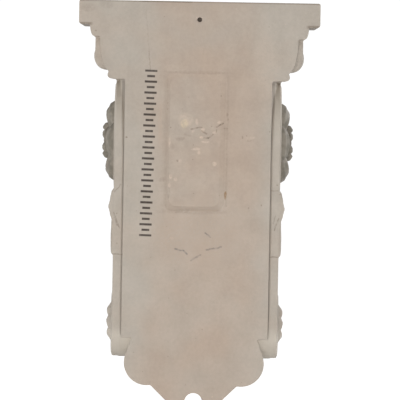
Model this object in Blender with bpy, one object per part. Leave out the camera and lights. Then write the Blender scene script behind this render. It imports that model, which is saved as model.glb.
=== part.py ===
"""Scrolled wall corbel, one solid casting with a flat back.

The wall face lies in the plane Y = 0, the front looks along -Y and Z is up. The origin is on the wall face,
on the centre line, between the nail hole and the shallow recess. Distances forward of the wall are called
"out". Heights are given as drops below the top of the cap or, near the foot, as rises above the lowest tip.
"""

import math

import bmesh
import bpy
from mathutils import Vector

# Overall sizes, in metres
CAP_WIDTH = 0.1300
CAP_PROJECTION = 0.0860
HEIGHT = 0.2186
ORIGIN_DROP = 0.0240

# Cap mouldings, from the top down. A set-back is how far a member lies inside the one above it.
SLAB_HEIGHT = 0.0136
SLAB_TOP_CHAMFER = 0.0006
SLAB_FOOT_ROUND = 0.0018
COVE_SET_BACK = 0.0060
COVE_HEIGHT = 0.0058
COVE_DEPTH = 0.0020
OVOLO_SET_BACK = 0.0036
OVOLO_HEIGHT = 0.0186
OVOLO_DEPTH = 0.0052
ASTRAGAL_RADIUS = 0.0021
ASTRAGAL_DEPTH = 0.0010

# Egg-and-dart carved on the ovolo
EGG_PITCH = 0.0158
EGG_HALF_WIDTH = 0.0046
EGG_HALF_HEIGHT = 0.0076
EGG_PROUD = 0.0034
EGG_LIFT = 0.0006
SHELL_HALF_WIDTH = 0.0066
SHELL_HALF_HEIGHT = 0.0081
SHELL_PROUD = 0.0031
DART_HALF_WIDTH = 0.0014
DART_PROUD = 0.0026
DART_DROP = 0.0084
CARVING_HALF_HEIGHT = 0.0093
CORNER_LEAF_HALF_WIDTH = 0.0062
CORNER_LEAF_PROUD = 0.0012
EGG_DEPTH = 0.0062
SHELL_DEPTH = 0.0040
DART_DEPTH = 0.0060
CORNER_LEAF_DEPTH = 0.0080
EGG_WALL_GAP = 0.0030

# Bracket body: a core between two scrolled cheeks
PLATE_HALF_WIDTH = 0.0395
PLATE_FOOT_RISE = 0.0371
CORE_INSET = 0.0004
FLANK_DRAFT = math.radians(6.5)
FLANK_REACH = 0.0290
FASCIA_SINK = 0.0020
NECK_OUT = 0.0520
CHEEK_HALF_WIDTH = 0.0455
CHEEK_THICKNESS = 0.0090
CHEEK_OFF_WALL = 0.0016
CHEEK_RIM = 0.0026
CHEEK_PANEL_SINK = 0.0012
COLLAR_HALF_WIDTH = 0.0315
COLLAR_INSET = 0.0004

# Scrolls, as circles in the side view, joined by a hollow waist
UPPER_SCROLL_RADIUS = 0.0340
UPPER_SCROLL_DROP = 0.0758
LOWER_SCROLL_RADIUS = 0.0196
LOWER_SCROLL_RISE = 0.0448
WAIST_RADIUS = 0.0500
SCROLL_RIDGE_RADIUS = 0.0013
ROLL_START = 0.0021
ROLL_GAP = 0.0026
FASCIA_STEPS = (14, 8, 12)
CHEEK_STEPS = (22, 8, 14)

# Rosettes in the eyes of the scrolls
UPPER_ROSETTE_RADIUS = 0.0232
UPPER_ROSETTE_RELIEF = 0.0079
LOWER_ROSETTE_RADIUS = 0.0110
LOWER_ROSETTE_RELIEF = 0.0038
ROSETTE_PETALS = 6
PETAL_NOTCH = 0.16

# Husk of overlapping leaves round the waist of each cheek
HUSK_LEAVES = 4
HUSK_RELIEF = 0.0027
HUSK_TIP = 0.0040
HUSK_EDGE_GAP = 0.0010

# Acanthus leaf on the front
LEAF_TOP_ANGLE = math.radians(57)
LEAF_LENGTH = 0.1270
LEAF_HALF_WIDTH = 0.0345
LEAF_RELIEF = 0.0062
LEAF_TIP_LIFT = 0.0050
LEAF_LOBES = 6
LEAF_COLUMNS = 11
LEAF_DROOP = 0.17
LEAF_HOLLOW = 0.22

# Tail leaf against the wall below the bracket
TAIL_SHOULDER_HALF_WIDTH = 0.0338
TAIL_SHOULDER_RISE = 0.0366
TAIL_SHOULDER_HEIGHT = 0.0060
TAIL_HUB_RISE = 0.0140
TAIL_LOBE_RADIUS = 0.0123
TAIL_LOBE_X = 0.0255
TAIL_LOBE_RISE = 0.0236
TAIL_TIP_RADIUS = 0.0048
TAIL_TIP_X = 0.0097
TAIL_NOTCH_RADIUS = 0.0047
TAIL_NOTCH_RISE = 0.0028
TAIL_EDGE_OUT = 0.0070
TAIL_RELIEF = 0.0075

# Back: a shallow recess left by the mould's lid, and a nail hole
RECESS_WIDTH = 0.0325
RECESS_HEIGHT = 0.0750
RECESS_TOP_DROP = 0.0380
RECESS_OFFSET = 0.0016
RECESS_DEPTH = 0.0009
RECESS_CORNER = 0.0025
NAIL_HOLE_RADIUS = 0.0013
NAIL_HOLE_DEPTH = 0.0120
NAIL_HOLE_DROP = 0.0098

# How far a piece is rooted in the one that carries it, before they are joined
ROOT = 0.0030
WALL_TRIM = 0.0200

# Colour of the unpainted cast resin
RESIN_COLOUR = (0.47, 0.40, 0.33, 1.0)
RESIN_ROUGHNESS = 0.62


def height(drop):
    """Z of a level this far below the top of the cap."""
    return ORIGIN_DROP - drop


def level(rise):
    """Z of a level this far above the lowest tip."""
    return ORIGIN_DROP - HEIGHT + rise


def at(x, out, z):
    """A point in space from its place across, its distance out from the wall and its Z."""
    return Vector((x, -out, z))


def arc(centre, radius, start, end, steps):
    """Points of an arc in a plane, from one angle to another, both ends included."""
    turns = [start + (end - start) * i / steps for i in range(steps + 1)]
    return [(centre[0] + radius * math.cos(a), centre[1] + radius * math.sin(a)) for a in turns]


def clear_scene():
    for obj in list(bpy.data.objects):
        bpy.data.objects.remove(obj, do_unlink=True)


def resin_material():
    material = bpy.data.materials.new("cast_resin")
    material.use_nodes = True
    shader = material.node_tree.nodes["Principled BSDF"]
    shader.inputs["Base Color"].default_value = RESIN_COLOUR
    shader.inputs["Roughness"].default_value = RESIN_ROUGHNESS
    shader.inputs["Metallic"].default_value = 0.0
    return material


def make_object(name, bm, collection):
    """Turns a closed bmesh into an object whose faces point outwards."""
    bm.normal_update()
    bmesh.ops.triangulate(bm, faces=bm.faces[:], ngon_method="EAR_CLIP")
    bmesh.ops.recalc_face_normals(bm, faces=bm.faces[:])
    mesh = bpy.data.meshes.new(name)
    bm.to_mesh(mesh)
    bm.free()
    obj = bpy.data.objects.new(name, mesh)
    collection.objects.link(obj)
    return obj


def helper_collection(name):
    collection = bpy.data.collections.new(name)
    bpy.context.scene.collection.children.link(collection)
    return collection


def bridge_rings(bm, rings):
    """Skins a row of rings of equal length, and closes both ends."""
    loops = [[bm.verts.new(p) for p in ring] for ring in rings]
    count = len(loops[0])
    for upper, lower in zip(loops, loops[1:]):
        for i in range(count):
            j = (i + 1) % count
            bm.faces.new((upper[i], upper[j], lower[j], lower[i]))
    bm.faces.new(loops[0])
    bm.faces.new(loops[-1])


def cap_profile():
    """(set-back from the cap's edge, drop) down the cap's mouldings."""
    points = [(SLAB_TOP_CHAMFER, 0.0), (0.0, SLAB_TOP_CHAMFER)]
    foot = (SLAB_FOOT_ROUND, SLAB_HEIGHT - SLAB_FOOT_ROUND)
    points += arc(foot, SLAB_FOOT_ROUND, math.pi, math.pi / 2, 4)
    cove_in, cove_top = COVE_SET_BACK, SLAB_HEIGHT
    for i in range(5):
        turn = math.pi / 2 * i / 4
        set_back = cove_in + COVE_DEPTH * (1 - math.cos(turn))
        points.append((set_back, cove_top + COVE_HEIGHT * math.sin(turn)))
    ovolo_in = cove_in + COVE_DEPTH + OVOLO_SET_BACK
    ovolo_top = cove_top + COVE_HEIGHT
    for i in range(7):
        turn = math.pi / 2 * i / 6
        set_back = ovolo_in + OVOLO_DEPTH * (1 - math.cos(turn))
        points.append((set_back, ovolo_top + OVOLO_HEIGHT * math.sin(turn)))
    bead_in = ovolo_in + OVOLO_DEPTH + ASTRAGAL_RADIUS - ASTRAGAL_DEPTH
    bead = (bead_in, ovolo_top + OVOLO_HEIGHT + ASTRAGAL_RADIUS)
    points += arc(bead, ASTRAGAL_RADIUS, -0.6 * math.pi, -1.5 * math.pi, 7)[1:]
    return points


def cap(collection):
    """The cap: one moulding profile mitred round the front and both ends."""
    bm = bmesh.new()
    rings = []
    for set_back, drop in cap_profile():
        half, out = CAP_WIDTH / 2 - set_back, CAP_PROJECTION - set_back
        z = height(drop)
        rings.append([at(-half, -ROOT, z), at(-half, out, z), at(half, out, z), at(half, -ROOT, z)])
    bridge_rings(bm, rings)
    return make_object("corbel", bm, collection)


def waist_centre():
    """Centre of the hollow arc that touches both scroll circles from the front."""
    upper, lower = scroll_centres()
    span = lower - upper
    far_upper = UPPER_SCROLL_RADIUS + WAIST_RADIUS
    far_lower = LOWER_SCROLL_RADIUS + WAIST_RADIUS
    along = (far_upper**2 - far_lower**2 + span.length_squared) / (2 * span.length)
    aside = math.sqrt(max(far_upper**2 - along**2, 0.0))
    forward = Vector((-span.y, span.x)).normalized()
    return upper + span.normalized() * along + forward * aside


def scroll_centres():
    """Centres of the upper and lower scroll in the side view, as (out, Z)."""
    upper = Vector((CHEEK_OFF_WALL + UPPER_SCROLL_RADIUS, height(UPPER_SCROLL_DROP)))
    lower = Vector((CHEEK_OFF_WALL + LOWER_SCROLL_RADIUS, level(LOWER_SCROLL_RISE)))
    return upper, lower


def angle_to(start, end):
    return math.atan2(end[1] - start[1], end[0] - start[0])


def front_arcs(sink, top_angle, foot_angle):
    """The front line of the side view as arcs (centre, radius, start, end), sunk below the cheeks' line."""
    upper, lower = scroll_centres()
    waist = waist_centre()
    leave, meet = angle_to(upper, waist), angle_to(lower, waist)
    return [
        (upper, UPPER_SCROLL_RADIUS - sink, top_angle, leave),
        (waist, WAIST_RADIUS + sink, leave + math.pi, meet + math.pi),
        (lower, LOWER_SCROLL_RADIUS - sink, meet, foot_angle),
    ]


def front_line(sink, top_angle, foot_angle, steps):
    points = []
    for (centre, radius, start, end), count in zip(front_arcs(sink, top_angle, foot_angle), steps):
        points += arc(centre, radius, start, end, count)[1 if points else 0:]
    return points


def on_fascia(distance, across, rise):
    """A point over the front of the core, this far along its line from the leaf's top."""
    for i, (centre, radius, start, end) in enumerate(front_arcs(FASCIA_SINK, LEAF_TOP_ANGLE, -math.pi / 2)):
        length = radius * abs(end - start)
        if distance <= length or i == 2:
            break
        distance -= length
    turn = start + math.copysign(distance / radius, end - start)
    reach = radius + (rise if i != 1 else -rise)
    return at(across, centre[0] + reach * math.cos(turn), centre[1] + reach * math.sin(turn))


def core(collection):
    """The solid middle of the bracket, between the cheeks."""
    upper, lower = scroll_centres()
    neck_angle = math.acos(min((NECK_OUT - upper[0]) / (UPPER_SCROLL_RADIUS - FASCIA_SINK), 1.0))
    foot_z = level(PLATE_FOOT_RISE + CORE_INSET)
    foot_angle = -math.pi - math.asin((foot_z - lower[1]) / (LOWER_SCROLL_RADIUS - FASCIA_SINK))
    head_z = height(SLAB_HEIGHT + COVE_HEIGHT + OVOLO_HEIGHT / 2)
    outline = [(-2 * ROOT, head_z), (NECK_OUT, head_z)]
    outline += front_line(FASCIA_SINK, neck_angle, foot_angle, FASCIA_STEPS)
    outline += [(-2 * ROOT, foot_z)]
    bm = bmesh.new()
    half = PLATE_HALF_WIDTH - CORE_INSET
    bridge_rings(bm, [[at(side * half, out, z) for out, z in outline] for side in (-1, 1)])
    return make_object("core", bm, collection)


def plate(collection):
    """The plate that bears on the wall: its sides open out so that the casting leaves its mould."""
    head_z = height(SLAB_HEIGHT + COVE_HEIGHT + OVOLO_HEIGHT / 3)
    foot_z = level(PLATE_FOOT_RISE)
    bm = bmesh.new()
    rings = []
    for out in (-3 * ROOT, FLANK_REACH):
        half = PLATE_HALF_WIDTH + out * math.tan(FLANK_DRAFT)
        corners = ((-half, head_z), (half, head_z), (half, foot_z), (-half, foot_z))
        rings.append([at(x, out, z) for x, z in corners])
    bridge_rings(bm, rings)
    return make_object("plate", bm, collection)


def cheek(side, collection):
    """One scrolled cheek, with a raised rim round a sunk panel."""
    edge = front_line(0.0, math.pi, -math.pi, CHEEK_STEPS)
    rim = front_line(CHEEK_RIM, math.pi, -math.pi, CHEEK_STEPS)
    levels = (
        (edge, CHEEK_HALF_WIDTH - CHEEK_THICKNESS),
        (edge, CHEEK_HALF_WIDTH),
        (rim, CHEEK_HALF_WIDTH),
        (rim, CHEEK_HALF_WIDTH - CHEEK_PANEL_SINK),
    )
    bm = bmesh.new()
    bridge_rings(bm, [[at(side * half, out, z) for out, z in line] for line, half in levels])
    return make_object("cheek", bm, collection)


def collar(side, collection):
    """The lower scroll runs further in behind the tail leaf than the rest of the cheek."""
    centre = scroll_centres()[1]
    ring = arc(centre, LOWER_SCROLL_RADIUS - COLLAR_INSET, 0.0, 2 * math.pi, 36)[:-1]
    bm = bmesh.new()
    ends = (COLLAR_HALF_WIDTH, CHEEK_HALF_WIDTH - CHEEK_THICKNESS / 2)
    bridge_rings(bm, [[at(side * half, out, z) for out, z in ring] for half in ends])
    return make_object("collar", bm, collection)


def over_cheek(side):
    """Places a point by (out, Z) and its rise over the sunk panel of a cheek."""
    panel = CHEEK_HALF_WIDTH - CHEEK_PANEL_SINK
    return lambda out, z, rise: at(side * (panel + rise), out, z)


# Cross-section of the raised line of a roll, as shares of its half-width and of its rise. None is its root.
LINE_SECTION = ((-1.0, None), (-0.45, 1.0), (0.45, 1.0), (1.0, None))


def raised_line(bm, axis, half_width, rise, place):
    """A thin raised line swept along an axis on a surface, rooted below it."""
    rings = []
    for i, (u, v) in enumerate(axis):
        before, after = axis[max(i - 1, 0)], axis[min(i + 1, len(axis) - 1)]
        along = Vector((after[0] - before[0], after[1] - before[1])).normalized()
        ring = []
        for aside, share in LINE_SECTION:
            offset = aside * half_width
            stand = -ROOT / 2 if share is None else rise
            ring.append(place(u - along.y * offset, v + along.x * offset, stand))
        rings.append(ring)
    bridge_rings(bm, rings)


def carved_sheet(bm, rows, columns, surface, place, closed=False):
    """A carved skin: a grid of points (u, v, rise) over a surface, closed by the same grid sunk below."""
    top, bottom = [], []
    for i in range(rows):
        points = [surface(i, j) for j in range(columns)]
        top.append([bm.verts.new(place(u, v, rise)) for u, v, rise in points])
        bottom.append([bm.verts.new(place(u, v, -ROOT)) for u, v, _ in points])
    last = columns if closed else columns - 1
    for i in range(rows - 1):
        for j in range(last):
            k = (j + 1) % columns
            bm.faces.new((top[i][j], top[i][k], top[i + 1][k], top[i + 1][j]))
            bm.faces.new((bottom[i][j], bottom[i + 1][j], bottom[i + 1][k], bottom[i][k]))
    if closed:
        bm.faces.new(top[0])
        bm.faces.new(bottom[0])
        ends = (rows - 1,)
    else:
        ends = (0, rows - 1)
    for i in ends:
        for j in range(last):
            k = (j + 1) % columns
            bm.faces.new((top[i][j], bottom[i][j], bottom[i][k], top[i][k]))
    if not closed:
        for j in (0, columns - 1):
            for i in range(rows - 1):
                bm.faces.new((top[i][j], top[i + 1][j], bottom[i + 1][j], bottom[i][j]))


# Steps down one lobe of a leaf: (share of the lobe, length of the row, rise), as shares of the leaf's own.
# Each lobe swells towards its tip and overlaps the root of the next.
LOBE_STEPS = ((0.0, 0.66, 0.34), (0.18, 0.90, 0.60), (0.46, 1.0, 0.86), (0.76, 0.94, 1.0))


def front_leaf(collection):
    """The acanthus leaf that hangs down the front, from the neck to the lower scroll, its tip lifted."""
    rows = []
    for lobe in range(LEAF_LOBES):
        for step, reach, rise in LOBE_STEPS:
            share = (lobe + step) / LEAF_LOBES
            reach *= 1.0 - 0.45 * step if lobe == LEAF_LOBES - 1 else 1.0
            swell = math.sin(math.pi * (0.32 + 0.60 * share)) ** 0.7
            rows.append((share, reach * swell, rise))
    rows.append((1.0, 0.10, 0.60))
    half = LEAF_COLUMNS // 2

    def surface(i, j):
        share, reach, rise = rows[i]
        across = (j - half) / half
        droop = LEAF_DROOP * (1.0 - share**4) * (1.0 - (1.0 - abs(across)) ** 1.7)
        lift = LEAF_TIP_LIFT * max((share - 0.65) / 0.35, 0.0) ** 2
        hollow = 1.0 - LEAF_HOLLOW * math.sin(math.pi * min(abs(across) * 1.2, 1.0))
        edge = 1.0 - 0.45 * abs(across) ** 3
        rib = LEAF_RELIEF if j == half else 0.0
        distance = LEAF_LENGTH * (share * (1.0 - LEAF_DROOP) + droop)
        stand = max(LEAF_RELIEF * rise * hollow * edge, rib) + lift
        return distance, across * LEAF_HALF_WIDTH * reach, stand

    bm = bmesh.new()
    carved_sheet(bm, len(rows), LEAF_COLUMNS, surface, on_fascia)
    return make_object("front_leaf", bm, collection)


# Rings of a rosette from its middle outwards: (share of its radius, rise on a petal, rise between petals,
# which row of petals the ring belongs to). The inner row stands over the gaps of the outer one.
LARGE_ROSETTE = (
    (0.10, 0.86, 0.86, 0),
    (0.16, 0.62, 0.62, 1),
    (0.30, 1.00, 0.76, 1),
    (0.40, 0.86, 0.56, 1),
    (0.46, 0.48, 0.34, 0),
    (0.74, 0.71, 0.42, 0),
    (0.92, 0.48, 0.26, 0),
    (1.00, 0.20, 0.12, 0),
)
SMALL_ROSETTE = (
    (0.20, 1.00, 1.00, 0),
    (0.32, 0.55, 0.50, 0),
    (0.75, 0.90, 0.45, 0),
    (1.00, 0.60, 0.25, 0),
)


def rosette(bm, centre, radius, relief, rings, steps, place):
    """A flower of cupped petals round a button."""
    columns = ROSETTE_PETALS * steps

    def surface(i, j):
        share, crest, gap, row = rings[i]
        phase = (j / steps + 0.5 * row) % 1.0
        open_to = math.sin(math.pi * phase) ** 0.6
        notch = 1.0 - (PETAL_NOTCH if share > 0.4 else 0.0) * (1.0 - open_to)
        reach = radius * share * notch
        turn = 2 * math.pi * (j / columns) + math.pi / 2
        rise = relief * (gap + (crest - gap) * open_to)
        return centre[0] + reach * math.cos(turn), centre[1] + reach * math.sin(turn), rise

    carved_sheet(bm, len(rings), columns, surface, place, closed=True)


def roll(bm, centre, outer, inner, start, turns, place, steps=22):
    """The raised edge of a roll, leaving the rim of the cheek and winding in to the rosette."""
    axis = []
    for i in range(steps + 1):
        share = i / steps
        radius = outer + (inner - outer) * share**1.4
        turn = start + 2 * math.pi * turns * share
        axis.append((centre[0] + radius * math.cos(turn), centre[1] + radius * math.sin(turn)))
    raised_line(bm, axis, SCROLL_RIDGE_RADIUS, CHEEK_PANEL_SINK - 0.0002, place)


# Levels up the husk: (share of the way from the lower to the upper scroll, how far its leaves stand out,
# depth of the grooves between them, groove shift)
HUSK_LEVELS = (
    (0.379, 0.30, 0.22, 0.0),
    (0.416, 0.50, 0.42, 0.0),
    (0.478, 0.56, 0.48, 0.0),
    (0.534, 0.40, 0.34, 0.0),
    (0.570, 0.34, 0.28, 0.5),
    (0.600, 1.05, 0.80, 0.5),
    (0.639, 1.65, 1.40, 0.5),
    (0.680, 1.10, 1.00, 0.5),
    (0.729, 0.38, 0.30, 0.5),
)


def husk(bm, place):
    """Two rows of leaves that sheathe the waist, the lower row bound over the stems of the upper."""
    waist, (upper, lower) = waist_centre(), scroll_centres()
    columns = 4 * HUSK_LEAVES + 1

    def surface(i, j):
        up, stand, groove, shift = HUSK_LEVELS[i]
        share = j / (columns - 1)
        leaf = abs(math.sin(math.pi * (share * HUSK_LEAVES + shift)))
        tip = HUSK_TIP * (1.0 - leaf) if i == len(HUSK_LEVELS) - 1 else 0.0
        z = lower[1] + (upper[1] - lower[1]) * up - tip
        hollow = waist[0] - math.sqrt(max(WAIST_RADIUS**2 - (z - waist[1]) ** 2, 0.0))
        round_off = math.sqrt(max(UPPER_SCROLL_RADIUS**2 - (z - upper[1]) ** 2, 0.0))
        front = min(hollow, upper[0] + round_off) - HUSK_EDGE_GAP
        back = CHEEK_OFF_WALL + HUSK_EDGE_GAP
        rise = CHEEK_PANEL_SINK + HUSK_RELIEF / 2 * (stand - groove * (1.0 - leaf))
        return back + (front - back) * share, z, rise

    carved_sheet(bm, len(HUSK_LEVELS), columns, surface, place)


def cheek_carving(side, collection):
    """What is carved on a cheek: the rolls of the scrolls, their rosettes, and the husk round the waist."""
    bm = bmesh.new()
    place = over_cheek(side)
    upper, lower = scroll_centres()
    waist = waist_centre()
    for centre, radius, flower, turns in (
        (upper, UPPER_SCROLL_RADIUS, UPPER_ROSETTE_RADIUS, 1.10),
        (lower, LOWER_SCROLL_RADIUS, LOWER_ROSETTE_RADIUS, -1.10),
    ):
        roll(bm, centre, radius - ROLL_START, flower + ROLL_GAP, angle_to(centre, waist), turns, place)
    rosette(bm, upper, UPPER_ROSETTE_RADIUS, UPPER_ROSETTE_RELIEF, LARGE_ROSETTE, 6, place)
    rosette(bm, lower, LOWER_ROSETTE_RADIUS, LOWER_ROSETTE_RELIEF, SMALL_ROSETTE, 4, place)
    husk(bm, place)
    return make_object("cheek_carving", bm, collection)


def tail_outline():
    """Outline of the tail down its right side, as (x, Z, swell): a swell of 1 is the middle of a lobe."""
    lobe = (TAIL_LOBE_X, level(TAIL_LOBE_RISE))
    tip = (TAIL_TIP_X, level(TAIL_TIP_RADIUS))
    notch = (0.0, level(TAIL_NOTCH_RISE))
    points = [(TAIL_SHOULDER_HALF_WIDTH * 0.93, level(TAIL_SHOULDER_RISE + TAIL_SHOULDER_HEIGHT), 0.2)]
    points += [(TAIL_SHOULDER_HALF_WIDTH, level(TAIL_SHOULDER_RISE), 0.1)]
    for centre, radius, start, end, steps, folds in (
        (lobe, TAIL_LOBE_RADIUS, math.radians(14), math.radians(-100), 8, 2),
        (tip, TAIL_TIP_RADIUS, math.radians(-45), math.radians(-168), 6, 1),
    ):
        for i, (x, z) in enumerate(arc(centre, radius, start, end, steps)):
            points.append((x, z, abs(math.sin(math.pi * folds * i / steps))))
    inner = arc(notch, TAIL_NOTCH_RADIUS, math.radians(10), math.radians(90), 2)
    points += [(x, z, 0.5 * i) for i, (x, z) in enumerate(inner)]
    return points


# From the tail's hub to its edge: (share of the way, rise on a lobe, rise between lobes)
TAIL_RINGS = (
    (0.02, 1.00, 1.00),
    (0.30, 1.05, 0.85),
    (0.60, 0.95, 0.55),
    (0.85, 0.80, 0.35),
    (0.97, 0.55, 0.20),
    (1.00, 0.30, 0.10),
)


def tail(collection):
    """The leaf against the wall below the bracket, its lobes fanning out from the foot of the core."""
    right = tail_outline()
    outline = right + [(-x, z, swell) for x, z, swell in reversed(right[:-1])]
    hub = Vector((0.0, level(TAIL_SHOULDER_RISE + TAIL_HUB_RISE)))

    def surface(i, j):
        share, crest, valley = TAIL_RINGS[i]
        x, z, swell = outline[j]
        rise = TAIL_EDGE_OUT + TAIL_RELIEF * (valley + (crest - valley) * swell)
        return hub[0] + (x - hub[0]) * share, hub[1] + (z - hub[1]) * share, rise

    bm = bmesh.new()
    carved_sheet(bm, len(TAIL_RINGS), len(outline), surface, lambda x, z, out: at(x, out, z))
    return make_object("tail", bm, collection)


def egg_rows():
    """(middle of the row, direction along it, outward direction, number of eggs) for front and ends."""
    set_back = COVE_SET_BACK + COVE_DEPTH + OVOLO_SET_BACK
    half, out = CAP_WIDTH / 2 - set_back, CAP_PROJECTION - set_back
    along_front = max(3, int(2 * half / EGG_PITCH))
    along_end = max(2, int((out - EGG_WALL_GAP) / EGG_PITCH))
    middle = EGG_WALL_GAP + along_end * EGG_PITCH / 2
    return [
        (Vector((0, -out, 0)), Vector((1, 0, 0)), Vector((0, -1, 0)), along_front),
        (Vector((half, -middle, 0)), Vector((0, -1, 0)), Vector((1, 0, 0)), along_end),
        (Vector((-half, -middle, 0)), Vector((0, -1, 0)), Vector((-1, 0, 0)), along_end),
    ]


def add_ellipsoid(bm, centre, along, outward, half_width, half_height, depth, segments=8, rings=4):
    made = bmesh.ops.create_uvsphere(bm, u_segments=segments, v_segments=rings, radius=1.0)
    for vert in made["verts"]:
        x, y, z = vert.co
        up = Vector((0, 0, z * half_height))
        vert.co = centre + along * (x * half_width) + outward * (y * depth) + up


def eggs(collection):
    """Egg-and-dart round the ovolo: an egg in its shell, and a dart between each pair."""
    bm = bmesh.new()
    top = SLAB_HEIGHT + COVE_HEIGHT
    shell_z = height(top + SHELL_HALF_HEIGHT * 0.90)
    egg_z = height(top + OVOLO_HEIGHT - EGG_HALF_HEIGHT - EGG_LIFT)
    dart_z = height(top + DART_DROP)
    for middle, along, outward, count in egg_rows():
        for i in range(count):
            spot = middle + along * (EGG_PITCH * (i - (count - 1) / 2))
            shell_at = spot + outward * (SHELL_PROUD - SHELL_DEPTH) + Vector((0, 0, shell_z))
            add_ellipsoid(bm, shell_at, along, outward, SHELL_HALF_WIDTH, SHELL_HALF_HEIGHT, SHELL_DEPTH)
            egg_at = spot + outward * (EGG_PROUD - EGG_DEPTH) + Vector((0, 0, egg_z))
            add_ellipsoid(bm, egg_at, along, outward, EGG_HALF_WIDTH, EGG_HALF_HEIGHT, EGG_DEPTH)
        for i in range(count - 1):
            spot = middle + along * (EGG_PITCH * (i + 0.5 - (count - 1) / 2))
            dart_at = spot + outward * (DART_PROUD - DART_DEPTH) + Vector((0, 0, dart_z))
            add_ellipsoid(
                bm, dart_at, along, outward, DART_HALF_WIDTH, CARVING_HALF_HEIGHT, DART_DEPTH, segments=4
            )
    return make_object("eggs", bm, collection)


def corner_leaves(collection):
    """A plain leaf over each front corner of the ovolo, where two rows of eggs meet."""
    bm = bmesh.new()
    set_back = COVE_SET_BACK + COVE_DEPTH + OVOLO_SET_BACK
    for side in (-1, 1):
        corner = Vector((side * (CAP_WIDTH / 2 - set_back), -(CAP_PROJECTION - set_back), 0))
        outward = Vector((side, -1, 0)).normalized()
        along = Vector((1, side, 0)).normalized()
        z = height(SLAB_HEIGHT + COVE_HEIGHT + DART_DROP)
        centre = corner + outward * (CORNER_LEAF_PROUD - CORNER_LEAF_DEPTH) + Vector((0, 0, z))
        add_ellipsoid(
            bm, centre, along, outward, CORNER_LEAF_HALF_WIDTH, CARVING_HALF_HEIGHT, CORNER_LEAF_DEPTH
        )
    return make_object("corner_leaves", bm, collection)


def wall_trim(collection):
    """Everything behind the wall plane is cut away by this block."""
    bm = bmesh.new()
    bmesh.ops.create_cube(bm, size=1.0)
    reach = 2 * max(CAP_WIDTH, HEIGHT)
    for vert in bm.verts:
        vert.co = Vector((vert.co.x * reach, (vert.co.y + 0.5) * WALL_TRIM, vert.co.z * 2 * reach))
    return make_object("wall_trim", bm, collection)


def recess(collection):
    """Cutter for the shallow recess in the back, with round corners."""
    half_w, half_h = RECESS_WIDTH / 2 - RECESS_CORNER, RECESS_HEIGHT / 2 - RECESS_CORNER
    centre_z = height(RECESS_TOP_DROP + RECESS_HEIGHT / 2)
    outline = []
    for i, (sx, sz) in enumerate(((1, 1), (-1, 1), (-1, -1), (1, -1))):
        corner = (RECESS_OFFSET + sx * half_w, centre_z + sz * half_h)
        outline += arc(corner, RECESS_CORNER, i * math.pi / 2, (i + 1) * math.pi / 2, 4)
    bm = bmesh.new()
    bridge_rings(bm, [[at(x, out, z) for x, z in outline] for out in (-ROOT, RECESS_DEPTH)])
    return make_object("recess", bm, collection)


def nail_hole(collection):
    """Cutter for the blind hole that drops over a nail in the wall."""
    outline = arc((0.0, height(NAIL_HOLE_DROP)), NAIL_HOLE_RADIUS, 0.0, 2 * math.pi, 12)[:-1]
    bm = bmesh.new()
    bridge_rings(bm, [[at(x, out, z) for x, z in outline] for out in (-ROOT, NAIL_HOLE_DEPTH)])
    return make_object("nail_hole", bm, collection)


def join(obj, operation, collection):
    """A live Boolean of the object with every helper in a collection."""
    modifier = obj.modifiers.new(collection.name, "BOOLEAN")
    modifier.operation = operation
    modifier.operand_type = "COLLECTION"
    modifier.collection = collection
    modifier.solver = "EXACT"
    modifier.use_self = operation == "UNION"


def main():
    clear_scene()
    carving = helper_collection("carving")
    cuts = helper_collection("cuts")
    corbel = cap(bpy.context.scene.collection)
    core(carving)
    plate(carving)
    for side in (-1, 1):
        cheek(side, carving)
        collar(side, carving)
        cheek_carving(side, carving)
    front_leaf(carving)
    tail(carving)
    eggs(carving)
    corner_leaves(carving)
    wall_trim(cuts)
    recess(cuts)
    nail_hole(cuts)
    for helper in [*carving.objects, *cuts.objects]:
        helper.hide_render = True
        helper.display_type = "WIRE"
    join(corbel, "UNION", carving)
    join(corbel, "DIFFERENCE", cuts)
    corbel.data.materials.append(resin_material())


main()
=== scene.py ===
"""Looks of the scrolled wall corbel: one casting of unpainted resin, seen from its flat back.

Metres. The wall face lies in the plane Y = 0, the front looks along -Y and Z is up. Distances forward of
the wall are called "out". All the carved parts are modelled by themselves and then fused into one casting.
"""

import math

import bpy
from mathutils import Matrix, Vector


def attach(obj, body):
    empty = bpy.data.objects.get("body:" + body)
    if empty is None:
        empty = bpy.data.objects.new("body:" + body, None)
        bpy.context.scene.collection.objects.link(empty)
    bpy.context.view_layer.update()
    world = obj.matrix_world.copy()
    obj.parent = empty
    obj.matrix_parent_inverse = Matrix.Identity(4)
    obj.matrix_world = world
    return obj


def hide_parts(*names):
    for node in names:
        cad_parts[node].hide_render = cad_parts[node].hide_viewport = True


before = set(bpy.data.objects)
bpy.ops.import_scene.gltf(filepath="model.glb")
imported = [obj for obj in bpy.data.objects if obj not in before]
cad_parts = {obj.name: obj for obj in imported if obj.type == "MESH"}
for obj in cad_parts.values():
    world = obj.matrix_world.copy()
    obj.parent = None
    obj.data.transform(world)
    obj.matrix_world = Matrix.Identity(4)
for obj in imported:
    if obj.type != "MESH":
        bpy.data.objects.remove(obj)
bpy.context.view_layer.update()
bpy.ops.object.select_all(action="DESELECT")


# Cap -----------------------------------------------------------------------------------------------------
# The head of the bracket: a square slab over a cove, a quarter-round ovolo and a bead, which run round the
# front and both ends. It is cast with all the rest, and its back lies flush in the wall plane.
CAP_WIDTH = 0.1300
CAP_PROJECTION = 0.0860
CAP_TOP = 0.0240
SLAB_HEIGHT = 0.0131
SLAB_TOP_CHAMFER = 0.0006
SLAB_FOOT_ROUND = 0.0014
COVE_SET_BACK = 0.0060
COVE_HEIGHT = 0.0063
COVE_DEPTH = 0.0020
OVOLO_SET_BACK = 0.0036
OVOLO_HEIGHT = 0.0186
OVOLO_DEPTH = 0.0052
BEAD_RADIUS = 0.0021
BEAD_DEPTH = 0.0010
BEHIND_WALL = 0.0030

casting_parts = []


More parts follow.
